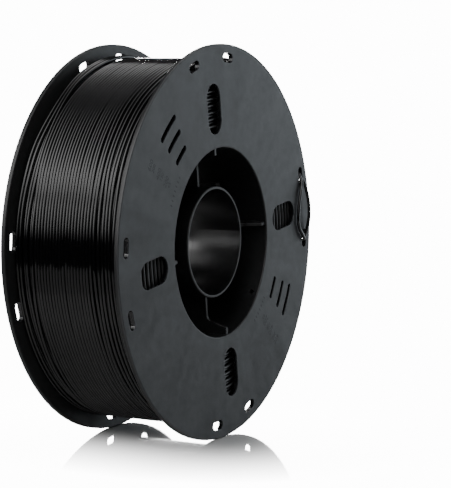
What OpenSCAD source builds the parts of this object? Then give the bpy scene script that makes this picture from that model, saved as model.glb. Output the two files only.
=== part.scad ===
// Filament spool for a desktop 3D printer, full of 1.75 mm filament.
// Two moulded halves snap together on the winding barrel. Each carries one flange, half of
// the barrel and half of the hub tube, and the same moulding serves for both sides.
// One strand of filament fills the barrel; its loose end is laced through two rim slots.
// Millimetres. The spool's axis lies along Y, +Z is up, and the front flange faces -Y.
// The origin is on the axis, midway between the flanges.

/* [Flanges] */
// Diameter of both flanges
flange_d = 200; // [190:1:220]
// Thickness of a flange
flange_t = 2.4; // [1.8:0.1:3]
// Overall width, face to face
spool_w = 65.8; // [55:0.1:75]
// Radius rounded onto the flange's rim and onto the edge of the hub opening
edge_r = 0.6; // [0.3:0.1:0.9]
// How far the whole spool is rolled about its axis, in degrees
roll = 7.5; // [0:0.5:45]

/* [Hub] */
// Bore of the hub tube
bore_d = 54; // [50:1:56]
// Wall of the hub tube
tube_t = 1.3; // [1.2:0.1:2.5]
// How far the hub tube stops short of the flange's face
tube_recess = 4.5; // [2:0.5:8]
// Bore of the winding barrel, open through the flange
barrel_bore_d = 96.2; // [94:0.2:100]
// Wall of the winding barrel
barrel_t = 2.9; // [2:0.1:3.5]
// Thickness of the four ribs between tube and barrel
rib_t = 1.6; // [1.2:0.1:2.4]

/* [Windows and slots] */
// Width of a window in the flange
window_w = 13.4; // [8:0.2:16]
// Length of a window, along the radius
window_len = 25.4; // [18:0.2:28]
// Radius of the window's middle
window_mid_r = 68; // [66:0.5:72]
// Width of a slot at the rim
slot_w = 4.7; // [3:0.1:5]
// Length of a slot, along the rim
slot_len = 10; // [8:0.1:12]
// Radius of the row of slots
slot_r = 93; // [92:0.5:94]
// Angle from a spoke to the slot on either side of it
slot_step = 10.7; // [9:0.1:14]
// Width of a gauge slit
gauge_w = 2.8; // [1:0.1:3.2]
// Angle from a spoke to the middle of the nearer row of gauge slits
gauge_at = 35; // [30:1:40]

/* [Filament] */
// Diameter of the filament
filament_d = 1.75; // [1.75, 2.85]
// Layers wound on the barrel
layers = 24; // [10:1:24]

/* [Snap hooks] */
// Angle from a spoke to a hook
hook_at = 22.5; // [18:0.5:27]
// Angle that a hook spans
hook_span = 10; // [6:0.5:12]
// Radial gap between a hook and the other half's barrel
hook_gap = 0.15; // [0.1:0.05:0.3]

/* [Hidden] */
$fn = 96;
// A cut runs this far past the face it opens.
past = 1;

spokes = 4;
spoke_angles = [for (i = [0 : spokes - 1]) i * 360 / spokes];
flange_r = flange_d / 2;
barrel_in_r = barrel_bore_d / 2;
barrel_r = barrel_in_r + barrel_t;
bore_r = bore_d / 2;
tube_r = bore_r + tube_t;
face_h = spool_w / 2;
inner_h = face_h - flange_t;
tube_h = face_h - tube_recess;

// A rib's front edge: a lip under the opening, a slope down, a round bend, then level to the tube.
rib_lip_drop = 1;
rib_lip_in = 3.5;
rib_slope_in = 6.2;
rib_drop = 12;
rib_bend_r = 3;
// The tube's end is rounded on the outside by this much.
tube_round = 0.5;

// The gauge slits stand where the winding's edge lies with 20, 40 and 60 % of a reel left.
gauge_full_r = 95.2;
gauge_parts = [0.2, 0.4, 0.6];
gauge_spans = [9, 10, 11];

// Hooks reach past the middle plane, and each barb sits in a catch in the other half.
hook_t = 1.6;
hook_root = 9;
hook_reach = 7.4;
barb_h = 2.8;
barb_out = 1.1;
catch_play = 0.3;

// A hole in the barrel, by the flange. The strand's inner end enters through the rear one.
start_hole_d = 2.6;
start_hole_at = -45;
start_hole_down = 1.4;

turns = floor(2 * inner_h / filament_d);
pitch = 2 * inner_h / turns;
strand_r = filament_d / 2;
wound_r = barrel_r + layers * filament_d;
top_layer_r = wound_r - filament_d;
// A bump is a little fatter than the strand, so that neighbouring bumps close the crevice.
bump_r = 0.54 * pitch;

moulded = "#2b2c2f";
strand = "#131315";

// ---- placing ----

// Stands a piece up: local +Z becomes the spool's front (-Y), and local +Y becomes up.
module upright() {
    rotate([90, 0, 0]) rotate([0, 0, roll]) children();
}

// The same piece on the other side: turned over about the diagonal between two spokes.
module turned_over() {
    rotate([0, 0, 45]) rotate([180, 0, 0]) rotate([0, 0, -45]) children();
}

// ---- one moulded half ----

// A bar in section with all four corners rounded.
module rounded_section(size, r) {
    translate([r, 0]) square([size.x - 2 * r, size.y]);
    translate([0, r]) square([size.x, size.y - 2 * r]);
    for (x = [r, size.x - r], y = [r, size.y - r]) translate([x, y]) circle(r = r, $fn = 32);
}

// Flange and barrel are one L in section.
module shell() {
    rotate_extrude() {
        translate([barrel_in_r, inner_h])
            rounded_section([flange_r - barrel_in_r, flange_t], edge_r);
        translate([barrel_in_r, 0]) square([barrel_t, face_h - edge_r]);
    }
}

module hub_tube() {
    rotate_extrude() {
        translate([bore_r, 0]) square([tube_t, tube_h - tube_round]);
        translate([bore_r, 0]) square([tube_t - tube_round, tube_h]);
        translate([tube_r - tube_round, tube_h - tube_round]) circle(r = tube_round, $fn = 32);
    }
}

// The rib's outline, radius by height.
module rib_outline() {
    lip_r = barrel_in_r - rib_lip_in;
    bend_x = barrel_in_r - rib_slope_in - rib_bend_r;
    bend_y = face_h - rib_drop + rib_bend_r;
    inner_x = bore_r + tube_t / 2;
    outer_x = barrel_in_r + barrel_t / 2;
    bend = [for (a = [0 : 15 : 90])
        [bend_x + rib_bend_r * cos(a), bend_y - rib_bend_r * sin(a)]];
    polygon(concat(
        [[inner_x, 0], [outer_x, 0], [outer_x, face_h - rib_lip_drop], [lip_r, face_h - rib_lip_drop]],
        bend,
        [[inner_x, face_h - rib_drop]]));
}

module rib() {
    rotate([90, 0, 0]) linear_extrude(rib_t, center = true) rib_outline();
}

// A window or slot as a cutter: round ends, length along X.
module oblong(length, width, height) {
    run = length - width;
    translate([-run / 2, -width / 2, 0]) cube([run, width, height]);
    for (x = [-run / 2, run / 2]) translate([x, 0, 0]) cylinder(d = width, h = height);
}

// A gauge slit as a cutter: an arc with round ends, about the axis.
module gauge_slit(r, span, height) {
    rotate([0, 0, -span / 2]) rotate_extrude(angle = span)
        translate([r - gauge_w / 2, 0]) square([gauge_w, height]);
    for (a = [-span / 2, span / 2])
        rotate([0, 0, a]) translate([r, 0, 0]) cylinder(d = gauge_w, h = height);
}

module flange_cuts() {
    cut_h = flange_t + 2 * past;
    translate([0, 0, inner_h - past]) {
        for (a = spoke_angles) rotate([0, 0, a]) {
            translate([window_mid_r, 0, 0]) oblong(window_len, window_w, cut_h);
            for (s = [-slot_step, slot_step])
                rotate([0, 0, s]) translate([slot_r, 0, 0])
                    rotate([0, 0, 90]) oblong(slot_len, slot_w, cut_h);
        }
        // Two rows of slits, mirrored about the diagonal between the spokes.
        for (a = [90 + gauge_at, -gauge_at], i = [0 : len(gauge_parts) - 1]) {
            r = sqrt(pow(barrel_r, 2) + gauge_parts[i] * (pow(gauge_full_r, 2) - pow(barrel_r, 2)));
            rotate([0, 0, a]) gauge_slit(r, gauge_spans[i], cut_h);
        }
    }
}

// A hook stands on the inside of the barrel, with its barb turned outwards.
module hook() {
    out_r = barrel_in_r - hook_gap;
    in_r = out_r - hook_t;
    rotate([0, 0, -hook_span / 2]) rotate_extrude(angle = hook_span) polygon([
        [in_r, hook_root - hook_t], [in_r, -hook_reach], [out_r, -hook_reach],
        [out_r + barb_out, barb_h - hook_reach], [out_r, barb_h - hook_reach], [out_r, 0],
        [barrel_in_r + barrel_t / 2, 0], [barrel_in_r + barrel_t / 2, hook_root], [barrel_in_r, hook_root]]);
}

// The catch is a window in the barrel's wall, where the other half's barb sits.
module catch_cut() {
    span = hook_span + 1;
    rotate([0, 0, -span / 2]) rotate_extrude(angle = span)
        translate([barrel_in_r - past, hook_reach - barb_h - catch_play])
            square([barrel_t + 2 * past, barb_h + 2 * catch_play]);
}

module half() {
    difference() {
        union() {
            shell();
            hub_tube();
            for (a = spoke_angles) rotate([0, 0, a]) {
                rib();
                rotate([0, 0, hook_at]) hook();
            }
        }
        flange_cuts();
        for (a = spoke_angles) rotate([0, 0, a + 90 - hook_at]) catch_cut();
        rotate([0, 0, start_hole_at]) translate([barrel_in_r - past, 0, inner_h - start_hole_down])
            rotate([0, 90, 0]) cylinder(d = start_hole_d, h = barrel_t + 2 * past, $fn = 32);
    }
}

module front_half() {
    color(moulded) upright() half();
}

module rear_half() {
    color(moulded) upright() turned_over() half();
}

// ---- the wound filament ----

// Layers below the top one. Each flange side shows one bump for each layer.
module filament_winding() {
    core_h = inner_h - bump_r;
    color(strand) upright() rotate_extrude() intersection() {
        translate([barrel_r, -inner_h]) square([top_layer_r - barrel_r, 2 * inner_h]);
        union() {
            translate([barrel_r, -core_h]) square([top_layer_r - barrel_r, 2 * core_h]);
            for (i = [0 : layers - 2], s = [-1, 1])
                translate([barrel_r + (i + 0.5) * filament_d, s * core_h]) circle(r = bump_r, $fn = 24);
        }
    }
}

// The top layer, with one bump for each turn.
module filament_top_layer() {
    crest_r = wound_r - bump_r;
    color(strand) upright() rotate_extrude() intersection() {
        translate([top_layer_r, -inner_h]) square([filament_d, 2 * inner_h]);
        union() {
            translate([top_layer_r, -inner_h]) square([crest_r - top_layer_r, 2 * inner_h]);
            for (i = [0 : turns - 1])
                translate([crest_r, (i + 0.5) * pitch - inner_h]) circle(r = bump_r, $fn = 24);
        }
    }
}

// ---- loose ends of the strand ----

function unit(v) = v / norm(v);
function ahead(p, i) = unit(p[min(i + 1, len(p) - 1)] - p[max(i - 1, 0)]);
// The part of v that is square to t.
function squared(v, t) = unit(v - (v * t) * t);
// One normal for each point, each carried on from the one before it.
function normals(p, v, i = 0) = i == len(p) ? [] :
    let (n = squared(v, ahead(p, i))) concat([n], normals(p, n, i + 1));
// A smooth curve through four neighbours, between the middle two.
function spline(a, b, c, d, t) =
    0.5 * (2 * b + (c - a) * t + (2 * a - 5 * b + 4 * c - d) * t * t + (3 * b - a - 3 * c + d) * t * t * t);
function smooth(p, steps) = concat(
    [for (i = [0 : len(p) - 2], k = [0 : steps - 1])
        spline(p[max(i - 1, 0)], p[i], p[i + 1], p[min(i + 2, len(p) - 1)], k / steps)],
    [p[len(p) - 1]]);
// A route's point: angle and radius about the axis, and height above the front flange's face.
function on_spool(q) = [q[1] * cos(q[0]), q[1] * sin(q[0]), face_h + q[2]];

// A round strand with flat ends, along the points p.
module strand_along(p, first_normal, sides = 8) {
    n = normals(p, first_normal);
    rings = [for (i = [0 : len(p) - 1]) let (b = cross(ahead(p, i), n[i]))
        for (k = [0 : sides - 1]) p[i] + strand_r * (cos(360 * k / sides) * n[i] + sin(360 * k / sides) * b)];
    last = (len(p) - 1) * sides;
    polyhedron(rings, concat(
        [[for (k = [sides - 1 : -1 : 0]) k]],
        [for (i = [0 : len(p) - 2], k = [0 : sides - 1])
            [i * sides + k, i * sides + (k + 1) % sides, (i + 1) * sides + (k + 1) % sides, (i + 1) * sides + k]],
        [[for (k = [0 : sides - 1]) last + k]]));
}

// From the top layer out through one slot, across the face and in at the next slot, up the
// inside, then out and across once more. The end is tucked into the second slot.
tail_route = [
    [56, 94, -3.95], [45, 94, -3.95], [34, 94, -3.95], [24, 94, -4], [18, 94.1, -4.15],
    [14.2, 94.1, -3.9], [12.1, 94, -2.2], [10.9, 93.1, -0.7], [8.9, 91.6, 0.8], [6.6, 88.9, 1.3],
    [3, 86, 1.2], [-1, 84.1, 1.2], [-4.8, 83.5, 1.2], [-7.6, 85.4, 1.2], [-9.4, 88.1, 1.4],
    [-10.8, 91, 1], [-11.5, 93.3, -0.7], [-12.5, 94.4, -2.9], [-14, 94.8, -6], [-13.8, 94.9, -9],
    [-11, 94.6, -11], [-6, 94.3, -11.6], [0, 94.3, -11.4], [6, 94.6, -10.2], [10, 94.9, -8.4],
    [11.6, 95, -6], [11.1, 94.65, -3.75], [9.9, 94.2, -1.4], [8.6, 94.0, 0.65], [6.4, 94.1, 1.5],
    [3.2, 94.1, 2.4], [-0.6, 93.9, 2.8], [-4.6, 93.8, 2.4], [-7.6, 93.4, 1.4], [-9.2, 93.3, 0.6],
    [-10.2, 93.4, -0.3]];

module filament_tail() {
    p = [for (q = smooth(tail_route, 2)) on_spool(q)];
    color(strand) upright() strand_along(p, [0, 0, 1]);
}

// The inner end comes off the barrel through the start hole, and is bent flat behind it.
start_route = [[0, barrel_r], [0, barrel_in_r], [0.6, barrel_in_r - 1.4], [2.4, barrel_in_r - 2.4],
    [6, barrel_in_r - 2.2], [11, barrel_in_r - 1.6]];

module filament_start() {
    p = [for (q = smooth(start_route, 3))
        on_spool([start_hole_at + q[0], q[1], -flange_t - start_hole_down])];
    color(strand) upright() turned_over() strand_along(p, [0, 0, 1]);
}

front_half();
rear_half();
filament_start();
filament_winding();
filament_top_layer();
filament_tail();
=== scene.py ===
# %% [markdown]
# # A full filament spool
#
# A spool for a desktop 3D printer is two dark moulded halves with about 370 m of glossy
# 1.75 mm strand wound between them. The moulded halves come ready from the frame, at their
# real size. This notebook gives them a moulded finish, winds real strand between them, laces
# the loose end through the rim slots, and lights it all on a white table.

# %% Load the frame
import math

import bpy
import numpy as np
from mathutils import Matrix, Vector


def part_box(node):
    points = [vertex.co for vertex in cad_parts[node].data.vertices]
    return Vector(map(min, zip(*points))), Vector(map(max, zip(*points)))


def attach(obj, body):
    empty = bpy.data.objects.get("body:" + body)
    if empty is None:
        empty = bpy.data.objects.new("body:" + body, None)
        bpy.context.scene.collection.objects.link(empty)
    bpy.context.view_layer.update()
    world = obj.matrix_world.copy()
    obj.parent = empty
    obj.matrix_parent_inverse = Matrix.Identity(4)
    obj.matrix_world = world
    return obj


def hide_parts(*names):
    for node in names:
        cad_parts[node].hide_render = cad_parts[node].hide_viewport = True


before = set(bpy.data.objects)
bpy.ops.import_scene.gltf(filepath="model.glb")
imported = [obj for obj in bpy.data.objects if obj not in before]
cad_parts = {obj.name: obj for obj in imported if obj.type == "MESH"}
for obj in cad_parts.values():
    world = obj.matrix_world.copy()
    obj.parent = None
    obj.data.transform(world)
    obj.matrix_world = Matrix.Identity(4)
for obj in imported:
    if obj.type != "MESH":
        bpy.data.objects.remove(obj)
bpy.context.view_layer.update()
print("nodes:", sorted(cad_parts))

# %% [markdown]
# ## The camera
#
# A product camera stands low and far away, a little to the left, so the spool shows both its
# winding and its front flange. A long lens keeps the flanges nearly parallel. The camera looks
# straight along its own axis with no shift, so it can be moved for other views.

# %% Place the camera
CAMERA_AT = (-0.80034, -0.47177, 0.08878)
BACKWARD = (-0.8733, -0.4773, 0.0976)
LENS_MM = 133.8

camera_data = bpy.data.cameras.new("product_camera")
camera_data.lens = LENS_MM
camera_data.clip_start = 0.01
camera = bpy.data.objects.new("product_camera", camera_data)
camera.location = CAMERA_AT
camera.rotation_euler = Vector(BACKWARD).to_track_quat("Z", "Y").to_euler()
bpy.context.collection.objects.link(camera)
bpy.context.scene.camera = camera
print("camera stands", round(Vector(CAMERA_AT).length, 3), "m from the spool's middle")

# %% [markdown]
# ## Sizes read from the frame
#
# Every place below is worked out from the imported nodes. A point on the spool is given the way
# a spool maker would give it: an angle round the axis, a radius, and a height along the axis
# from the middle, positive towards the front flange. The frame's axis is Y and the front is -Y.
# The whole spool is rolled a little on the table, so angles that belong to the moulding start
# from its first spoke, ROLL degrees up from +X.

# %% Measure the spool
low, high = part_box("rear_half")
FLANGE_R = (high.x - low.x) / 2
FACE = high.y
low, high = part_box("filament_winding")
INNER = high.y
low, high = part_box("filament_top_layer")
WOUND_R = high.z
MM = 0.001
STRAND_D = 0.00175
STRAND_R = STRAND_D / 2
LAYERS = 24
BARREL_R = WOUND_R - LAYERS * STRAND_D
ROLL = 7.5


def on_spool(angle, radius, height):
    """Points from angles in degrees, radii and heights along the axis, as rows of x, y, z."""
    a = np.radians(np.asarray(angle, float))
    radius = np.broadcast_to(radius, a.shape)
    height = np.broadcast_to(height, a.shape)
    return np.stack([radius * np.cos(a), -height, radius * np.sin(a)], axis=-1)


print("flange radius", round(FLANGE_R / MM, 2), "mm, winding radius", round(WOUND_R / MM, 2), "mm")

# %% [markdown]
# ## Building a mesh from rows of points
#
# Nearly everything here is a surface swept from rows of points. So one helper makes an object
# from points and faces, and another gives the faces of a grid. Rows run along the piece and
# columns run round it, and either can close on itself.

# %% Helpers: a mesh from points and faces
def mesh_object(name, verts, faces, material, smooth=True):
    """A new object in the scene, with one material."""
    mesh = bpy.data.meshes.new(name)
    mesh.from_pydata(np.asarray(verts).tolist(), [], faces)
    if smooth:
        mesh.shade_smooth()
    mesh.materials.append(material)
    obj = bpy.data.objects.new(name, mesh)
    bpy.context.collection.objects.link(obj)
    return obj


def grid_faces(rows, columns, wrap_rows=False, wrap_columns=True):
    """Quads between neighbouring rows and columns of a grid of points."""
    faces = []
    for i in range(rows if wrap_rows else rows - 1):
        a, b = i * columns, ((i + 1) % rows) * columns
        for k in range(columns if wrap_columns else columns - 1):
            n = (k + 1) % columns
            faces.append((a + k, a + n, b + n, b + k))
    return faces


print("a tube of 3 rings with 8 points each has", len(grid_faces(3, 8)), "faces")

# %% [markdown]
# ## Shader helpers
#
# A finish is a small node graph. These helpers keep each graph short: one makes a new material
# and returns its shader, one adds a node and sets its values, and the others are the few nodes
# that every finish here is made of.

# %% Helpers: materials and nodes
def new_material(name):
    """A new material, its node tree and its shader."""
    material = bpy.data.materials.new(name)
    material.use_nodes = True
    tree = material.node_tree
    return material, tree, tree.nodes["Principled BSDF"]


def add(tree, kind, inputs=None, **settings):
    """A new node of that kind, with its settings and inputs set. A socket given as input is linked."""
    made = tree.nodes.new(kind)
    for key, value in settings.items():
        setattr(made, key, value)
    for key, value in (inputs or {}).items():
        if isinstance(value, bpy.types.NodeSocket):
            tree.links.new(value, made.inputs[key])
        else:
            made.inputs[key].default_value = value
    return made


def maths(tree, operation, a, b=0.0):
    """One sum on two values."""
    return add(tree, "ShaderNodeMath", {0: a, 1: b}, operation=operation).outputs[0]


def noise(tree, where, scale, detail=2.0, rough=0.5):
    """A cloudy pattern from 0 to 1."""
    return add(tree, "ShaderNodeTexNoise", {"Vector": where, "Scale": scale, "Detail": detail,
                                            "Roughness": rough}).outputs["Fac"]


def remap(tree, value, from_low, from_high, to_low, to_high):
    """A value moved from one range to another, and held at the ends."""
    return add(tree, "ShaderNodeMapRange", {"Value": value, "From Min": from_low, "From Max": from_high,
                                            "To Min": to_low, "To Max": to_high}).outputs["Result"]


def mix_value(tree, mask, first, second):
    """The first value where the mask is 0, and the second where it is 1."""
    return add(tree, "ShaderNodeMix", {0: mask, 2: first, 3: second}).outputs[0]


def mix_colour(tree, mask, first, second):
    """The first colour where the mask is 0, and the second where it is 1."""
    return add(tree, "ShaderNodeMix", {0: mask, 6: first, 7: second}, data_type="RGBA").outputs[2]


print("shader helpers: new_material, add, maths, noise, remap, mix_value, mix_colour")

# %% [markdown]
# ## The moulded finish
#
# The halves are injection moulded, and the steel of the mould is copied on the plastic. The
# steel for the flanges is spark-eroded, which leaves a very fine even grain. The melt flows out
# from the hub and leaves faint radial streaks, and it cools a little unevenly, which leaves
# soft patches. Each of these is a noise. For the streaks it is laid out by angle, radius and
# height, and changes slowly along the radius, which draws it out into rays.

# %% Patterns in the moulded plastic
GRAIN_SCALE = 3800
PATCH_SCALE = 260
STREAKS_ROUND = 9.0
STREAKS_OUT = 18.0
STREAKS_ALONG = 60.0


def cylindrical(tree):
    """Object coordinates, the radius from the spool's axis, the angle round it, and the axis itself."""
    place = add(tree, "ShaderNodeTexCoord").outputs["Object"]
    xyz = add(tree, "ShaderNodeSeparateXYZ", {"Vector": place})
    x, y, z = (xyz.outputs[k] for k in ("X", "Y", "Z"))
    radius = maths(tree, "SQRT", maths(tree, "ADD", maths(tree, "MULTIPLY", x, x),
                                       maths(tree, "MULTIPLY", z, z)))
    angle = maths(tree, "ARCTAN2", z, x)
    return place, radius, angle, y


moulded, tree, shader = new_material("moulded_plastic")
place, radius, angle, along_axis = cylindrical(tree)
grain = noise(tree, place, GRAIN_SCALE, 3.0, 0.6)
mottle = noise(tree, place, PATCH_SCALE, 3.0, 0.6)
ray_place = add(tree, "ShaderNodeCombineXYZ", {"X": maths(tree, "MULTIPLY", angle, STREAKS_ROUND),
                                               "Y": maths(tree, "MULTIPLY", radius, STREAKS_OUT),
                                               "Z": maths(tree, "MULTIPLY", along_axis, STREAKS_ALONG)})
flow = noise(tree, ray_place.outputs[0], 1.0, 2.0)
print("patterns: grain, mottle, flow")

# %% [markdown]
# ## Telling the places apart
#
# One material serves the whole moulding, so it has to know where it is. The hub lies inside a
# radius, the outer faces lie at the ends of the axis, and a wall is where the surface doesn't
# face along the axis. The tube's bore is a wall inside a small radius, and the rim is a wall at
# the flange's radius. An edge is found by comparing the true direction of the surface with a
# rounded one, and handling polishes the edges unevenly.

# %% Masks for the moulding
HUB_POLISH_R = 0.0488
TUBE_R = 0.0271
WORN_ROUNDING = 0.0007

hub = remap(tree, radius, HUB_POLISH_R, HUB_POLISH_R + 0.6 * MM, 1.0, 0.0)
rounded = add(tree, "ShaderNodeBevel", {"Radius": WORN_ROUNDING}, samples=4).outputs["Normal"]
true_normal = add(tree, "ShaderNodeNewGeometry").outputs["Normal"]
across = add(tree, "ShaderNodeSeparateXYZ", {"Vector": true_normal}).outputs["Y"]
wall = remap(tree, maths(tree, "ABSOLUTE", across), 0.45, 0.75, 1.0, 0.0)
outer_face = remap(tree, maths(tree, "ABSOLUTE", along_axis),
                   FACE - 0.8 * MM, FACE - 0.5 * MM, 0.0, 1.0)
inside_tube = remap(tree, radius, TUBE_R, TUBE_R + 0.3 * MM, 1.0, 0.0)
tube = maths(tree, "MULTIPLY", wall, inside_tube)
at_rim = remap(tree, radius, FLANGE_R - 0.9 * MM, FLANGE_R - 0.7 * MM, 0.0, 1.0)
rim = maths(tree, "MULTIPLY", wall, at_rim)
facing = add(tree, "ShaderNodeVectorMath", {0: rounded, 1: true_normal},
             operation="DOT_PRODUCT").outputs["Value"]
edge = remap(tree, facing, 0.96, 0.75, 0.0, 1.0)
worn_edge = maths(tree, "MULTIPLY", edge, remap(tree, mottle, 0.35, 0.65, 0.3, 1.0))
print("masks: hub, wall, outer_face, tube, rim, edge, worn_edge")

# %% [markdown]
# ## The moulding's colours
#
# The plastic itself is nearly black. The spark-eroded outer faces scatter light and look ash
# grey, and worn edges are greyer than the plastic beside them.

# %% Colours of the moulding
DEEP_BLACK = (0.0028, 0.003, 0.0034, 1)
SOFT_BLACK = (0.0046, 0.0049, 0.0055, 1)
WORN_GREY = (0.02, 0.0205, 0.0215, 1)
ASH_GREY = (0.022, 0.0236, 0.0258, 1)

patches = maths(tree, "ADD", mottle, maths(tree, "MULTIPLY", flow, 0.6))
plastic = mix_colour(tree, remap(tree, patches, 0.5, 1.1, 0.0, 1.0), DEEP_BLACK, SOFT_BLACK)
edged = mix_colour(tree, maths(tree, "MULTIPLY", worn_edge, 0.5), plastic, WORN_GREY)
eroded = maths(tree, "MULTIPLY", outer_face, maths(tree, "SUBTRACT", 1.0, hub))
tree.links.new(mix_colour(tree, eroded, edged, ASH_GREY), shader.inputs["Base Color"])
print("colours: black plastic, ash grey faces")

# %% [markdown]
# ## The moulding's gloss
#
# The steel for the hub is turned and polished, because the part has to slide off its core, so
# the tube's bore mirrors a light as a soft glow. Walls that slide along the steel, in the
# windows and slots, come out glossy too, and so does the rim where it is handled. Each line
# below lays the roughness of one place over what is there already, through its mask.

# %% Gloss of the moulding
FACE_ROUGH = (0.52, 0.62)
WALL_ROUGH = 0.18
RIM_ROUGH = (0.42, 0.14)
HUB_ROUGH = (0.55, 0.40)
TUBE_ROUGH = 0.25
TUBE_SHINE = (0.5, 0.9)

patches = maths(tree, "ADD", mottle, maths(tree, "MULTIPLY", flow, 0.7))
rough = remap(tree, patches, 0.5, 1.2, *FACE_ROUGH)
rough = maths(tree, "SUBTRACT", rough, maths(tree, "MULTIPLY", worn_edge, 0.12))
rough = mix_value(tree, wall, rough, WALL_ROUGH)
rough = mix_value(tree, rim, rough, remap(tree, edge, 0.0, 0.7, *RIM_ROUGH))
rough = mix_value(tree, hub, rough, remap(tree, wall, 0.0, 1.0, *HUB_ROUGH))
rough = mix_value(tree, tube, rough, TUBE_ROUGH)
tree.links.new(rough, shader.inputs["Roughness"])
tree.links.new(remap(tree, tube, 0.0, 1.0, *TUBE_SHINE), shader.inputs["Specular IOR Level"])
print("gloss: from", WALL_ROUGH, "on a wall to", FACE_ROUGH[1], "on a face")

# %% [markdown]
# ## The grain
#
# The grain of the steel is too fine to model, so it is a bump. It is laid over a slightly
# rounded edge, because no moulding has a perfectly sharp one.

# %% Grain of the moulding
EDGE_ROUNDING = 0.00035
GRAIN_DEPTH = 0.00006

soft_edge = add(tree, "ShaderNodeBevel", {"Radius": EDGE_ROUNDING}, samples=4).outputs["Normal"]
bump = add(tree, "ShaderNodeBump", {"Strength": 0.35, "Distance": GRAIN_DEPTH, "Height": grain,
                                    "Normal": soft_edge})
tree.links.new(bump.outputs[0], shader.inputs["Normal"])
print("moulded finish:", len(tree.nodes), "nodes")

# %% [markdown]
# ## The strand's finish
#
# Filament is drawn from a die while hot, so it is glossy, with very fine lines along it and a
# slow change of gloss from winding and cooling. Each strand mesh carries its own place as an
# attribute: metres along the strand, then the two directions across it. The noise is stretched
# along the first of these, so the lines follow the strand through every bend. The turns beside
# the flanges are rubbed duller by the moulding, so the finish is made twice.

# %% The strand's plastic, glossy and rubbed
STRAND_DEEP = (0.0011, 0.0012, 0.0014, 1)
STRAND_SOFT = (0.0024, 0.0025, 0.0028, 1)


def drawn_noise(tree, place, along, across, detail, rough=0.5):
    """Noise with that many waves in a metre along the strand and across it."""
    stretched = add(tree, "ShaderNodeMapping", {"Vector": place, "Scale": (along, across, across)})
    return noise(tree, stretched.outputs[0], 1.0, detail, rough)


def strand_finish(name, smooth, matte):
    """The strand's plastic, with its roughness where it is glossiest and where it is dullest."""
    material, tree, shader = new_material(name)
    place = add(tree, "ShaderNodeAttribute", attribute_name="strand_place").outputs["Vector"]
    die_lines = drawn_noise(tree, place, 9, 3600, 2.0)
    gloss = drawn_noise(tree, place, 45, 150, 3.0)
    scuffs = drawn_noise(tree, place, 900, 2600, 4.0, 0.7)
    tone = mix_colour(tree, gloss, STRAND_DEEP, STRAND_SOFT)
    tree.links.new(tone, shader.inputs["Base Color"])
    rough = maths(tree, "ADD", remap(tree, gloss, 0.3, 0.7, smooth, matte),
                  remap(tree, scuffs, 0.68, 0.8, 0.0, 0.06))
    tree.links.new(rough, shader.inputs["Roughness"])
    bump = add(tree, "ShaderNodeBump", {"Strength": 0.05, "Distance": 0.00001, "Height": die_lines})
    tree.links.new(bump.outputs[0], shader.inputs["Normal"])
    print(name, "finish:", len(tree.nodes), "nodes")
    return material


filament = strand_finish("filament", 0.07, 0.13)
rubbed_filament = strand_finish("rubbed_filament", 0.34, 0.42)

# %% [markdown]
# ## Sweeping a strand
#
# A strand is a circle carried along a path. On a spool one of the circle's two directions can
# always be "straight out from the axis", squared to the path, so the section never twists. The
# sweep also writes the strand_place attribute that the finish reads. A cut end gets a small
# chamfer and a flat face.

# %% Helpers: sweep a strand
CHAMFER = 0.2
CHAMFER_LENGTH = 0.12
PLACE_SHIFT = 0.37


def unit(v):
    """Rows of directions, each of length 1."""
    return v / np.linalg.norm(v, axis=-1, keepdims=True)


def strand_grid(path, sides, radius=STRAND_R):
    """Rings of points round the path, and each point's place along and across the strand."""
    ahead = unit(np.gradient(path, axis=0))
    out = path * (1, 0, 1)
    out = unit(out - (out * ahead).sum(-1, keepdims=True) * ahead)
    across = np.cross(ahead, out)
    turn = 2 * np.pi * np.arange(sides) / sides
    cos, sin = np.cos(turn)[None, :, None], np.sin(turn)[None, :, None]
    rings = path[:, None] + radius * (cos * out[:, None] + sin * across[:, None])
    along = np.concatenate([[0], np.cumsum(np.linalg.norm(np.diff(path, axis=0), axis=1))])
    places = np.broadcast_arrays(along[:, None], STRAND_R * cos[:, :, 0], STRAND_R * sin[:, :, 0])
    return rings, np.stack(places, -1)


def sweep(name, paths, sides, end_cut=False, finish=filament):
    """One mesh of one or more strands. With end_cut, each ends in a chamfered flat face."""
    verts, places, faces, base = [], [], [], 0
    for n, path in enumerate(paths):
        rings, place = strand_grid(np.asarray(path), sides)
        if end_cut:
            inner = rings[-1:].mean(1, keepdims=True) * CHAMFER + rings[-1:] * (1 - CHAMFER)
            on = unit(path[-1] - path[-2]) * STRAND_R * CHAMFER_LENGTH
            rings = np.concatenate([rings, inner + on])
            place = np.concatenate([place, place[-1:]])
        rows = len(rings)
        faces += [tuple(base + v for v in f) for f in grid_faces(rows, sides)]
        if end_cut:
            faces.append(tuple(base + (rows - 1) * sides + k for k in range(sides)))
        verts.append(rings.reshape(-1, 3))
        places.append(place.reshape(-1, 3) + (PLACE_SHIFT * n, 0, 0))
        base += rows * sides
    obj = mesh_object(name, np.concatenate(verts), faces, finish)
    attribute = obj.data.attributes.new("strand_place", "FLOAT_VECTOR", "POINT")
    attribute.data.foreach_set("vector", np.concatenate(places).astype(np.float32).ravel())
    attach(obj, "root")
    print(name, "has", len(obj.data.polygons), "faces")
    return obj


print("a strand is", STRAND_D / MM, "mm across")

# %% [markdown]
# ## Smooth steps and seeded wander
#
# A winding is regular with small faults, so its paths need two things: a step that starts and
# ends smoothly, and noise that wanders slowly. The noise is drawn once for the whole strand and
# smoothed along it, so it runs on from turn to turn as the strand does. The seed is fixed, so
# every run winds the same spool.

# %% Helpers: ramp and wobble
SEED = 24
rng = np.random.default_rng(SEED)


def ramp(value, start, end):
    """0 before start and 1 after end, smooth between."""
    t = np.clip((np.asarray(value, float) - start) / (end - start), 0, 1)
    return t * t * (3 - 2 * t)


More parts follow.
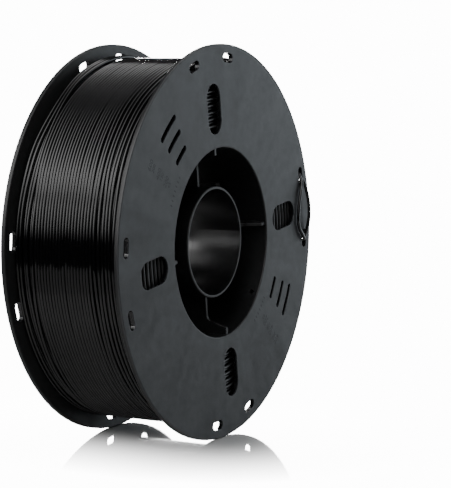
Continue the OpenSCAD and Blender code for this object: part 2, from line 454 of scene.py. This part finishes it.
def wobble(turns, columns, size, reach):
    """Smooth seeded noise along one continuous strand, in metres."""
    raw = rng.normal(size=turns * columns + 8 * reach)
    window = np.hanning(2 * reach + 1)
    smooth = np.convolve(raw, window / np.sqrt((window ** 2).sum()), "same")
    return size * smooth[4 * reach: 4 * reach + turns * columns].reshape(turns, columns)


print("half way up a ramp:", float(ramp(0.5, 0, 1)))

# %% [markdown]
# ## How a layer lies
#
# The winding machine lays the strand beside the turn before it, and steps over by one turn
# where nobody sees it. The path is worked out on a table of turns by angles. Each turn gets a
# wanted depth from the front flange, plus a drift and a little seeded noise, which both stay
# away from the step. Then two sweeps across the table push turns apart until none is closer
# than a strand's width, as real strands would. Last, the table is read as one line and smoothed.

# %% Helper: lay a layer
STEP_DEG = 2.5
NEAR_WALL = 0.93 * MM
STEP_OVER = (300, 345)
CALM_AFTER = (15, 50)
CALM_BEFORE = (285, 300)
SMOOTH_OVER = 9


def lay(first_gap, gaps, drift, jitter, reach, min_gap):
    """Angles and depths below the front flange along the strand, and the depths as turns by angles."""
    angles = np.arange(0, 360, STEP_DEG)
    starts = first_gap + np.concatenate([[0], np.cumsum(gaps)])
    turns = len(starts) - 1
    step_over = ramp(angles, *STEP_OVER)
    depth = starts[:-1, None] * (1 - step_over) + starts[1:, None] * step_over
    calm = ramp(angles, *CALM_AFTER) * (1 - ramp(angles, *CALM_BEFORE))
    wander = drift(angles[None, :], depth) + jitter(depth) * wobble(turns, len(angles), 1, reach)
    depth = depth + wander * calm
    room = 2 * INNER
    for k in range(turns):
        floor = depth[k - 1] + min_gap if k else NEAR_WALL
        depth[k] = np.maximum(depth[k], floor)
    for k in reversed(range(turns)):
        ceiling = depth[k + 1] - min_gap if k < turns - 1 else room - NEAR_WALL
        depth[k] = np.minimum(depth[k], ceiling)
    line = depth.ravel()
    window = np.hanning(SMOOTH_OVER)
    beyond = SMOOTH_OVER // 2
    padded = np.concatenate([np.full(beyond, line[0]), line, np.full(beyond, line[-1])])
    smooth = np.convolve(padded, window / window.sum(), "valid")
    total = np.arange(len(line)) * STEP_DEG
    return total, smooth, smooth.reshape(depth.shape)


print("room between the flanges:", round(2 * INNER / MM, 1), "mm")

# %% [markdown]
# ## The top layer's faults
#
# By the last layer the turns no longer lie perfectly: some leave a gap, groups of them wander
# sideways, and they open up towards the flanges. The gaps are a short list, counted from the
# front flange. The wander is a few ramps, by the angle round the spool and by the depth from
# the front flange, because a group of neighbours drifts together.

# %% Lay the top layer
TURN_COUNT = 30
CLOSE_PITCH = 1.79 * MM
# Extra room after a turn, in millimetres, on top of the close pitch.
LOOSE = {0: 0.4, 1: 0.3, 2: 0.25, 3: 0.6, 4: 0.3, 5: 0.4, 6: 0.1, 22: 0.2, 24: 0.1, 26: 1.1}
extra = np.array([LOOSE.get(k, 0) * MM for k in range(TURN_COUNT)])


def top_drift(angle, depth):
    """How far groups of turns wander towards the rear, in metres."""
    front = 1 - ramp(depth, 17 * MM, 28 * MM)
    rear = ramp(depth, 43 * MM, 53 * MM)
    out = 3.0 * front * ramp(angle, 106, 136)
    out = out - 1.7 * (1 - rear) * ramp(angle, 146, 174)
    out = out + 2.3 * ramp(depth, 53.4 * MM, 55.2 * MM) * ramp(angle, 128, 150)
    spread = 0.7 * front + 0.5 + 2.2 * rear * (1 - ramp(depth, 50 * MM, 55 * MM))
    out = out + spread * ramp(angle, 184, 238)
    return MM * out * (1 - ramp(angle, 240, 290))


def top_jitter(depth):
    """How unsteady each turn is: most beside the flanges."""
    return MM * (0.24 + 0.08 * (1 - ramp(depth, 8 * MM, 20 * MM)) + 0.12 * ramp(depth, 44 * MM, 54 * MM))


total, depth, table = lay(first_gap=1.4 * MM, gaps=np.full(TURN_COUNT, CLOSE_PITCH) + extra,
                          drift=top_drift, jitter=top_jitter, reach=10, min_gap=1.70 * MM)
print("the top layer takes up", round(float(table.max() - table.min()) / MM, 1), "mm")

# %% [markdown]
# ## Sinking in and riding up
#
# A turn with room on both sides sinks a little between the turns below, and at the rear the
# last turns ride up on them for part of the way round. The first turn leaves the layer as the
# loose end, so the layer starts where that begins, and the last turn dives under.

# %% Wind the top layer
TOP_R = WOUND_R - STRAND_R
RIDING = 27
RIDE_UP = 1.5 * MM
LEAVES_AT = 110
DIVE_STEPS = 14

steps_of = np.diff(np.concatenate([table[:1] - CLOSE_PITCH, table, table[-1:] + CLOSE_PITCH]), axis=0)
spare = np.clip((steps_of[1:] + steps_of[:-1]) / 2 - CLOSE_PITCH, 0, MM).ravel()
sink = np.convolve(0.3 * spare, np.ones(9) / 9, "same")
sink = sink + np.abs(wobble(TURN_COUNT, len(table[0]), 0.13 * MM, 9)).ravel()
round_once = np.arange(0, 360, STEP_DEG)
ride = RIDE_UP * ramp(round_once, 30, 70) * (1 - ramp(round_once, 118, 142))
sink = sink - (ride[None, :] * (np.arange(TURN_COUNT) >= RIDING)[:, None]).ravel()

start = int(LEAVES_AT / STEP_DEG)
top_path = on_spool(total[start:], (TOP_R - sink)[start:], (INNER - depth)[start:])
dive = ramp(np.arange(len(top_path)), len(top_path) - DIVE_STEPS, len(top_path) - 1)[:, None]
top_path = top_path * (1 - dive * (STRAND_D * 0.9 / TOP_R) * np.array([1, 0, 1]))
top_layer = sweep("top_layer_strand", [top_path], 14)
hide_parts("filament_top_layer")

# %% [markdown]
# ## The layer below
#
# Through the gaps in the top layer the next layer shows, wound the other way. It is laid by
# the same function, a little below, so that the top strands rest in its grooves.

# %% Lay the second layer
SECOND_R = TOP_R - 0.86 * STRAND_D
SECOND_COUNT = 33
SECOND_PITCH = 1.785 * MM


def second_drift(angle, depth):
    """The layer below wanders a little as well, all of it together."""
    return MM * 1.2 * (ramp(angle, 120, 170) - ramp(angle, 190, 240))


total, depth, table = lay(first_gap=1.0 * MM, gaps=np.full(SECOND_COUNT, SECOND_PITCH),
                          drift=second_drift, jitter=lambda d: 0.12 * MM, reach=16, min_gap=1.745 * MM)
second_path = on_spool(-total, SECOND_R, INNER - depth)
second_layer = sweep("second_layer_strand", [second_path], 10)
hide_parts("filament_winding")

# %% [markdown]
# ## Turns beside the flanges
#
# Through the windows, the gauge slits and the slots only the turns beside each flange show. So
# two turns of every lower layer are built at each flange, as plain rings with a seeded waver,
# and the layers are staggered by half a strand as they are in a real winding.

# %% Turns beside the flanges
EDGE_STEP = 3.0
LOBES = (1, 2, 3, 5)
WAVER_OUT = 0.09 * MM
WAVER_ALONG = 0.16 * MM
ring_angles = np.arange(0, 360 + EDGE_STEP, EDGE_STEP)


def edge_turn(radius, depth, side):
    """A turn of a lower layer, with seeded waver, closed on itself."""
    waver = np.zeros((2, len(ring_angles)))
    for row in range(2):
        for lobes in LOBES:
            size, phase = rng.normal() / lobes, rng.uniform(0, 2 * np.pi)
            waver[row] += size * np.cos(lobes * np.radians(ring_angles) + phase)
    push = np.abs(waver[1]) * WAVER_ALONG
    return on_spool(ring_angles, radius + WAVER_OUT * waver[0], side * (INNER - depth - push))


edge_paths = []
for layer in range(LAYERS - 2):
    radius = BARREL_R + (layer + 0.5) * STRAND_D
    tucked = (layer % 2) * 0.5 * STRAND_D
    for side in (-1, 1):
        edge_paths.append(edge_turn(radius, NEAR_WALL + tucked * 0.9, side))
        edge_paths.append(edge_turn(radius, NEAR_WALL + tucked * 0.9 + STRAND_D, side))
edge_turns = sweep("edge_turns", edge_paths, 10, finish=rubbed_filament)
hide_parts("filament_winding")

# %% [markdown]
# ## The core of the winding
#
# The turns that nobody can see are one plain ring. It closes the space between the visible
# turns, so that no light comes through.

# %% Core of the winding
CORE_IN = STRAND_D * 2.2
CORE_R = SECOND_R - STRAND_R * 0.7
CORE_INNER_R = BARREL_R + 0.1 * MM


def ring_piece(name, profile, steps, material):
    """A closed outline of radius and height, turned round the axis."""
    angles = np.arange(0, 360, 360 / steps)
    radii, heights = zip(*profile)
    rows = np.stack([on_spool(np.full(len(profile), a), radii, heights) for a in angles])
    faces = grid_faces(steps, len(profile), wrap_rows=True)
    return mesh_object(name, rows.reshape(-1, 3), faces, material)


half = INNER - CORE_IN
core_profile = [(CORE_INNER_R, half), (CORE_R, half), (CORE_R, -half), (CORE_INNER_R, -half)]
core = ring_piece("winding_core", core_profile, 120, filament)
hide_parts("filament_winding")
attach(core, "root")
print("winding_core has", len(core.data.polygons), "faces")

# %% [markdown]
# ## The loose end
#
# The strand's end must not spring loose, so it is laced: out through one rim slot, across the
# face and in at the next slot, up the inside of the flange, then out and across once more, with
# its end tucked into the second slot. The route is a list of places by angle from the first
# spoke, radius, and height above the flange's face, joined by a smooth curve. Its first points
# lie on the last turn of the top layer, so the strand runs on without a break.

# %% Lace the loose end
LACING = [
    [24, 0.094, -0.004], [18, 0.0941, -0.00415], [14.2, 0.0941, -0.0039], [12.1, 0.094, -0.0022],
    [10.9, 0.0931, -0.0007], [8.9, 0.0916, 0.0008], [6.6, 0.0889, 0.0013], [3, 0.086, 0.0012],
    [-1, 0.0841, 0.0012], [-4.8, 0.0835, 0.0012], [-7.6, 0.0854, 0.0012], [-9.4, 0.0881, 0.0014],
    [-10.8, 0.091, 0.001], [-11.5, 0.0933, -0.0007], [-12.5, 0.0944, -0.0029],
    [-14, 0.0948, -0.006], [-13.8, 0.0949, -0.009], [-11, 0.0946, -0.011], [-6, 0.0943, -0.0116],
    [0, 0.0943, -0.0114], [6, 0.0946, -0.0102], [10, 0.0949, -0.0084], [11.6, 0.095, -0.006],
    [11.1, 0.09465, -0.00375], [9.9, 0.0942, -0.0014], [8.6, 0.094, 0.00065],
    [6.4, 0.0941, 0.0015], [3.2, 0.0941, 0.0024], [-0.6, 0.0939, 0.0028], [-4.6, 0.0938, 0.0024],
    [-7.6, 0.0934, 0.0014], [-9.2, 0.0933, 0.0006], [-10.2, 0.0934, -0.0003]]
LEAVING = (92, 80, 68, 56, 44, 34)
LIFTED_BY = 48
BEHIND_FLANGE = -0.00395


def smooth_route(points, steps):
    """A Catmull-Rom curve through points given by angle, radius and height."""
    p = np.asarray(points, float)
    p = np.concatenate([p[:1], p, p[-1:]])
    t = np.linspace(0, 1, steps, endpoint=False)[:, None]
    parts = []
    for a, b, c, d in zip(p, p[1:], p[2:], p[3:]):
        parts.append(0.5 * (2 * b + (c - a) * t + (2 * a - 5 * b + 4 * c - d) * t ** 2
                            + (3 * b - a - 3 * c + d) * t ** 3))
    return np.concatenate(parts + [p[-1:]])


leaving = [[LEAVES_AT - ROLL, TOP_R, -top_path[0][1] - FACE]]
for angle in LEAVING:
    lift = float(ramp(-angle, -LEAVING[0], -LIFTED_BY))
    height = (1 - lift) * leaving[0][2] + lift * BEHIND_FLANGE
    leaving.append([angle, TOP_R + lift * (LACING[0][1] - TOP_R), height])
route = smooth_route(leaving + LACING, 8)
tail_path = on_spool(route[:, 0] + ROLL, route[:, 1], FACE + route[:, 2])
loose_end = sweep("loose_end", [tail_path], 16, end_cut=True)
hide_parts("filament_tail")
length = np.linalg.norm(np.diff(tail_path, axis=0), axis=1).sum()
print("loose end:", round(length, 3), "m")

# %% [markdown]
# ## The inner end
#
# Before winding, the machine pushes the strand's first end through a small hole in the barrel
# and the end springs flat against the inside. It shows only from the back.

# %% The inner end
BARREL_T = 0.0029
BARREL_IN_R = BARREL_R - BARREL_T
START_AT = 135 + ROLL
START_DOWN = FACE - INNER + 0.0014
START_ROUTE = [[0, BARREL_R, 0], [0, BARREL_IN_R, 0], [-0.6, BARREL_IN_R - 0.0014, 0],
               [-2.4, BARREL_IN_R - 0.0024, 0], [-6, BARREL_IN_R - 0.0022, 0],
               [-11, BARREL_IN_R - 0.0016, 0]]

start_route = smooth_route(START_ROUTE, 6)
start_path = on_spool(START_AT + start_route[:, 0], start_route[:, 1], START_DOWN - FACE)
inner_end = sweep("inner_end", [start_path], 14, end_cut=True)
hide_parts("filament_start")

# %% [markdown]
# ## The gauge numbers' finish
#
# Beside each row of slits the mould has raised numbers. They are cut into polished steel, so
# they show as slightly darker, smoother marks on the grained face.

# %% Polished marks
polished, tree, shader = new_material("polished_marks")
place = add(tree, "ShaderNodeTexCoord").outputs["Object"]
wear = noise(tree, place, 900, 3.0)
shader.inputs["Base Color"].default_value = (0.008, 0.0085, 0.0095, 1)
shader.inputs["Specular IOR Level"].default_value = 0.2
tree.links.new(remap(tree, wear, 0.3, 0.7, 0.4, 0.5), shader.inputs["Roughness"])
shade = add(tree, "ShaderNodeBump", {"Strength": 0.2, "Distance": 0.00002, "Height": wear})
tree.links.new(shade.outputs[0], shader.inputs["Normal"])
print("polished marks:", len(tree.nodes), "nodes")

# %% [markdown]
# ## The shape of a number
#
# A text object is the quickest way to a number's outline. Its curves are turned into a thin
# solid, half sunk in the face, and the text object is thrown away. A bar is a plain flat box.

# %% Helper: a raised number
MARK_UP = 0.00003
BAR_HALF_WIDTH = 0.0003
BAR_HALF_HEIGHT = 0.0008
BAR = [(x, y, z) for x in (-BAR_HALF_WIDTH, BAR_HALF_WIDTH)
       for y in (-BAR_HALF_HEIGHT, BAR_HALF_HEIGHT) for z in (-MARK_UP, MARK_UP)]
BAR_FACES = [(0, 1, 3, 2), (4, 6, 7, 5), (0, 4, 5, 1), (2, 3, 7, 6), (0, 2, 6, 4), (1, 5, 7, 3)]


def number_shape(text, size):
    """A raised number, centred, as vertices and faces. Half of its height lies in the face below."""
    curve = bpy.data.curves.new("number", "FONT")
    curve.body = text
    curve.size = size
    curve.extrude = MARK_UP
    curve.align_x = curve.align_y = "CENTER"
    curve.resolution_u = 3
    obj = bpy.data.objects.new("number", curve)
    bpy.context.collection.objects.link(obj)
    mesh = obj.to_mesh()
    shape = [tuple(v.co) for v in mesh.vertices], [tuple(p.vertices) for p in mesh.polygons]
    obj.to_mesh_clear()
    bpy.data.objects.remove(obj)
    bpy.data.curves.remove(curve)
    return shape


print("marks stand", MARK_UP / MM, "mm above the face")

# %% [markdown]
# ## Placing the numbers
#
# Each slit has two numbers: how many grams and how many metres are left when the winding's edge
# shows in it. A row of small bars lies nearest to the hub. The same marks stand beside both
# rows of slits, and the rear half is the same moulding turned over.

# %% Raised gauge numbers
GAUGE_MARKS = [(0.0807, "600", "200"), (0.072, "400", "130"), (0.064, "200", "65")]
GRAMS_SIZE = 0.0040
METRES_SIZE = 0.0030
LINE_SHIFT = 0.0016
BARS_R = 0.056
BARS_APART = 2.6
MARKS_AT = 149
MIRROR_AT = 45 + ROLL


def face_marks(name, turned):
    """All the marks of one half. The rear half's are turned over about the mirror angle."""
    verts, faces = [], []

    def put(points, shapes, angle, radius):
        a, base = math.radians(angle), len(verts)
        out = Vector((math.cos(a), 0, math.sin(a)))
        reading = Vector((math.sin(a), 0, -math.cos(a)))
        for x, y, z in points:
            verts.append(out * (radius + y) + reading * x + Vector((0, -FACE - z, 0)))
        faces.extend(tuple(base + v for v in shape) for shape in shapes)

    for centre in (MARKS_AT, 2 * MIRROR_AT - MARKS_AT):
        for radius, grams, metres in GAUGE_MARKS:
            put(*number_shape(grams, GRAMS_SIZE), centre, radius + LINE_SHIFT)
            put(*number_shape(metres, METRES_SIZE), centre, radius - LINE_SHIFT)
        for k in range(-3, 4):
            put(BAR, BAR_FACES, centre + BARS_APART * k, BARS_R)
    if turned:
        a = math.radians(MIRROR_AT)
        axis = Vector((math.cos(a), 0, math.sin(a)))
        verts = [2 * axis * axis.dot(v) - v for v in verts]
    obj = mesh_object(name, verts, faces, polished, smooth=False)
    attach(obj, "root")
    print(name, "has", len(faces), "faces")


face_marks("front_gauge_marks", turned=False)
face_marks("rear_gauge_marks", turned=True)

# %% [markdown]
# ## Finishes for the nodes from the frame
#
# The two halves come from the frame as they are, so they only need their material. The nodes
# that the strands above replace get the strand's finish.

# %% Give the nodes from the frame their finishes
for name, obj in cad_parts.items():
    obj.data.materials.clear()
    obj.data.materials.append(moulded if "half" in name else filament)
print("finished:", sorted(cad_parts))

# %% [markdown]
# ## The table
#
# The spool stands on a pale gloss table. AWAY is the camera's direction along the table and
# ASIDE is square to it, so a card is placed by how far it is away, aside and up.

# %% The table
FLOOR_Z = -FLANGE_R
AWAY = Vector((-BACKWARD[0], -BACKWARD[1], 0)).normalized()
ASIDE = Vector((-AWAY.y, AWAY.x, 0))
TABLE_NEAR = -2.2
TABLE_FAR = 2.2
TABLE_HALF_WIDTH = 2.6

table_white, tree, shader = new_material("table_white")
shader.inputs["Base Color"].default_value = (0.4, 0.4, 0.4, 1)
shader.inputs["Roughness"].default_value = 0.04
shader.inputs["IOR"].default_value = 1.5


def card(name, corners, material):
    """A flat card, from its four corners by how far each is away, aside and up."""
    places = [AWAY * away + ASIDE * aside + Vector((0, 0, up)) for away, aside, up in corners]
    obj = mesh_object(name, places, [(0, 1, 2, 3)], material, smooth=False)
    return obj


def level_card(name, near, up, material):
    """A level card as wide as the table, that reaches to the table's far edge."""
    return card(name, [(near, -TABLE_HALF_WIDTH, up), (TABLE_FAR, -TABLE_HALF_WIDTH, up),
                       (TABLE_FAR, TABLE_HALF_WIDTH, up), (near, TABLE_HALF_WIDTH, up)], material)


level_card("table", TABLE_NEAR, FLOOR_Z, table_white)
print("table at", round(FLOOR_Z, 3), "m")

# %% [markdown]
# ## The backdrop
#
# Two white things stand behind the spool. The backdrop is a large sphere that only the camera
# sees. The glow is a card that only mirrors see, and the table mirrors it round the spool's
# own reflection.

# %% Backdrop and glow
WHITE_OUT = 14.0
GLOW_STRENGTH = 40.0
GLOW_HALF_WIDTH = 0.5
GLOW_TOP = 0.5
BACKDROP_R = 8
ALL_BUT_CAMERA = ("diffuse", "glossy", "transmission", "volume_scatter", "shadow")


def glowing_white(name, strength):
    """A black surface that gives off white light."""
    material, tree, shader = new_material(name)
    shader.inputs["Base Color"].default_value = (0, 0, 0, 1)
    shader.inputs["Emission Color"].default_value = (1, 1, 1, 1)
    shader.inputs["Emission Strength"].default_value = strength
    return material


def hide_from(obj, *rays):
    """Takes the object out of these kinds of rays."""
    for ray in rays:
        setattr(obj, "visible_" + ray, False)


glow = card("glow", [(TABLE_FAR, -GLOW_HALF_WIDTH, FLOOR_Z), (TABLE_FAR, -GLOW_HALF_WIDTH, GLOW_TOP),
                     (TABLE_FAR, GLOW_HALF_WIDTH, GLOW_TOP), (TABLE_FAR, GLOW_HALF_WIDTH, FLOOR_Z)],
            glowing_white("glow_white", GLOW_STRENGTH))
hide_from(glow, "camera", "diffuse")
bpy.ops.mesh.primitive_uv_sphere_add(radius=BACKDROP_R, segments=48, ring_count=24)
backdrop = bpy.context.object
backdrop.name = "backdrop"
backdrop.data.materials.append(glowing_white("backdrop_white", WHITE_OUT))
hide_from(backdrop, *ALL_BUT_CAMERA)
print("backdrop and glow are up")

# %% [markdown]
# ## Fading the reflection
#
# In a product picture the mirrored spool fades into white. A sheet of white light, seen by the
# camera alone, lies just over the table. It is clear under the spool and thickens with the
# distance from the lines where the flanges touch the table.

# %% White sheet over the table
FADE_OVER = 0.105
FADE_POWER = 3.1
SHEET_NEAR = -1.5
SHEET_Z = FLOOR_Z + 0.0002

fade_white = bpy.data.materials.new("fade_white")
fade_white.use_nodes = True
tree = fade_white.node_tree
tree.nodes.clear()
spot = add(tree, "ShaderNodeSeparateXYZ", {"Vector": add(tree, "ShaderNodeTexCoord").outputs["Object"]})
x, y = spot.outputs["X"], spot.outputs["Y"]
beyond = maths(tree, "MAXIMUM", maths(tree, "SUBTRACT", maths(tree, "ABSOLUTE", y), FACE), 0.0)
distance = maths(tree, "SQRT", maths(tree, "ADD", maths(tree, "MULTIPLY", x, x),
                                     maths(tree, "MULTIPLY", beyond, beyond)))
thickness = maths(tree, "POWER", maths(tree, "DIVIDE", distance, FADE_OVER), FADE_POWER)
cover = maths(tree, "MINIMUM", thickness, 1.0)
light = add(tree, "ShaderNodeEmission", {"Color": (1, 1, 1, 1), "Strength": WHITE_OUT}).outputs[0]
clear = add(tree, "ShaderNodeBsdfTransparent").outputs[0]
blend = add(tree, "ShaderNodeMixShader", {0: cover, 1: clear, 2: light}).outputs[0]
add(tree, "ShaderNodeOutputMaterial", {"Surface": blend})
sheet = level_card("white_sheet", SHEET_NEAR, SHEET_Z, fade_white)
hide_from(sheet, *ALL_BUT_CAMERA)
print("the reflection fades over", FADE_OVER, "m")

# %% [markdown]
# ## The flag
#
# A photographer stands black card beside a glossy thing to give it a dark edge. This flag is a
# low wall bent round the left side. The winding mirrors it as the dark band half way down.

# %% Black flag
FLAG_R = 0.5
FLAG_TOP = 0.035
FLAG_ANGLES = np.arange(95, 250, 5)

flag_black, tree, shader = new_material("flag_black")
shader.inputs["Base Color"].default_value = (0, 0, 0, 1)
shader.inputs["Specular IOR Level"].default_value = 0
verts = []
for a in np.radians(FLAG_ANGLES):
    x, y = FLAG_R * math.cos(a), FLAG_R * math.sin(a)
    verts += [(x, y, FLOOR_Z), (x, y, FLAG_TOP)]
faces = [(2 * k - 2, 2 * k, 2 * k + 1, 2 * k - 1) for k in range(1, len(FLAG_ANGLES))]
flag = mesh_object("flag", verts, faces, flag_black, smooth=False)
hide_from(flag, "camera", "diffuse", "shadow")
print("flag at", FLAG_R, "m")

# %% [markdown]
# ## Lights
#
# Every light is a glowing card that the camera doesn't see. Each has its own brightness at
# each point, so it fades out softly and leaves no hard edge in the glossy strands. A softbox is
# a flat card that fades towards its edges, and faces the spool from a given direction.

# %% Helpers: glowing cards
CARD_POINTS = np.linspace(-1, 1, 13)


def glow_card(name, rows, strength, colour=(1, 1, 1)):
    """A glowing sheet from a grid of points, with its brightness at each point."""
    rows, strength = np.asarray(rows), np.asarray(strength)
    faces = grid_faces(*strength.shape, wrap_columns=False)
    material, tree, shader = new_material(name)
    brightness = add(tree, "ShaderNodeAttribute", attribute_name="glow").outputs["Fac"]
    shader.inputs["Base Color"].default_value = (0, 0, 0, 1)
    shader.inputs["Specular IOR Level"].default_value = 0
    shader.inputs["Emission Color"].default_value = (*colour, 1)
    tree.links.new(brightness, shader.inputs["Emission Strength"])
    obj = mesh_object(name, rows.reshape(-1, 3), faces, material)
    attribute = obj.data.attributes.new("glow", "FLOAT", "POINT")
    attribute.data.foreach_set("value", strength.astype(np.float32).ravel())
    hide_from(obj, "camera")
    return obj


def softbox(name, direction, distance, size, strength, colour=(1, 1, 1), edge=0.5):
    """A soft light seen from the spool in that direction, bright in the middle and fading to its edges."""
    back = Vector(direction).normalized()
    side = Vector((0, 0, 1)).cross(back).normalized()
    up = back.cross(side)
    fade = 1 - ramp(np.abs(CARD_POINTS), edge, 1)
    rows = [[back * distance + side * (u * size[0] / 2) + up * (v * size[1] / 2) for v in CARD_POINTS]
            for u in CARD_POINTS]
    return glow_card(name, rows, strength * fade[:, None] * fade[None, :], colour)


def bearing(round_deg, up_deg):
    """A direction by its angle round from +X and its angle up."""
    a, e = math.radians(round_deg), math.radians(up_deg)
    return (math.cos(a) * math.cos(e), math.sin(a) * math.cos(e), math.sin(e))


print("a glowing card has", len(CARD_POINTS) ** 2, "points")

# %% [markdown]
# ## The arches
#
# An arch bends over the spool's axis like a long softbox. Each angle up from +X lights one
# place of the winding, so its brightness changes along the bend, and so does its reach to
# either side. Angles between two entries are blended. A second, wide arch gives the broad sheen
# at the upper left. It is only for reflections: as plain light it would wash out the flange.

# %% Arches
ARCH_R = 1.3
ARCH_ANGLES = np.arange(50, 179, 2.0)
WIDE_REACH = 1.9
# The angle, how bright the arch is there, and how far it reaches to either side in metres.
ARCH = {50: (2.6, 0.60), 61: (2.6, 0.52), 68: (3.0, 0.37), 75: (2.9, 0.29), 82: (2.5, 0.28),
        89: (1.95, 0.28), 96: (1.6, 0.31), 104: (2.1, 0.45), 111: (2.5, 0.61), 118: (3.1, 0.75),
        126: (4.2, 0.90), 133: (4.5, 1.00), 141: (3.5, 1.00), 148: (3.0, 0.95), 156: (3.1, 0.85),
        163: (2.4, 0.72), 169: (1.6, 0.65), 174: (0.6, 0.65), 178: (0.1, 0.65)}
WIDE_ARCH = {50: 0.3, 61: 0.1, 75: 0.0, 118: 0.0, 127: 3.6, 133: 9.5, 141: 5.5, 149: 1.9, 157: 0.9,
             165: 0.0}


def arch(name, levels, edge):
    """A glowing band over the spool, from its brightness and reach at some of its angles."""
    level, reach = (np.interp(ARCH_ANGLES, list(levels), column) for column in zip(*levels.values()))
    fade = 1 - ramp(np.abs(CARD_POINTS), edge, 1)
    rows = [[(ARCH_R * math.cos(a), w * u, ARCH_R * math.sin(a)) for u in CARD_POINTS]
            for a, w in zip(np.radians(ARCH_ANGLES), reach)]
    return glow_card(name, rows, level[:, None] * fade[None, :])


arch("arch", ARCH, edge=0.55)
wide = arch("wide_arch", {angle: (level, WIDE_REACH) for angle, level in WIDE_ARCH.items()}, edge=0.8)
wide.location.z = 0.02
hide_from(wide, "diffuse")
print("arches of", ARCH_R, "m over the spool")

# %% [markdown]
# ## The boxes and the room
#
# A cool box on the right gives the flange its even grey, and a small one behind the spool
# shines into the hub tube. The room itself adds a little light from everywhere.

# %% Boxes and room light
COOL_WHITE = (0.86, 0.94, 1.0)
ROOM_LIGHT = 0.06

softbox("right_box", bearing(-20, 0), distance=1.1, size=(1.4, 1.5), strength=2.6, colour=COOL_WHITE)
softbox("bore_box", bearing(150, 15), distance=1.25, size=(0.45, 0.5), strength=7.0, edge=0.3)
world = bpy.data.worlds.new("studio")
world.use_nodes = True
sky = world.node_tree.nodes["Background"]
sky.inputs["Color"].default_value = (1, 1, 1, 1)
sky.inputs["Strength"].default_value = ROOM_LIGHT
bpy.context.scene.world = world
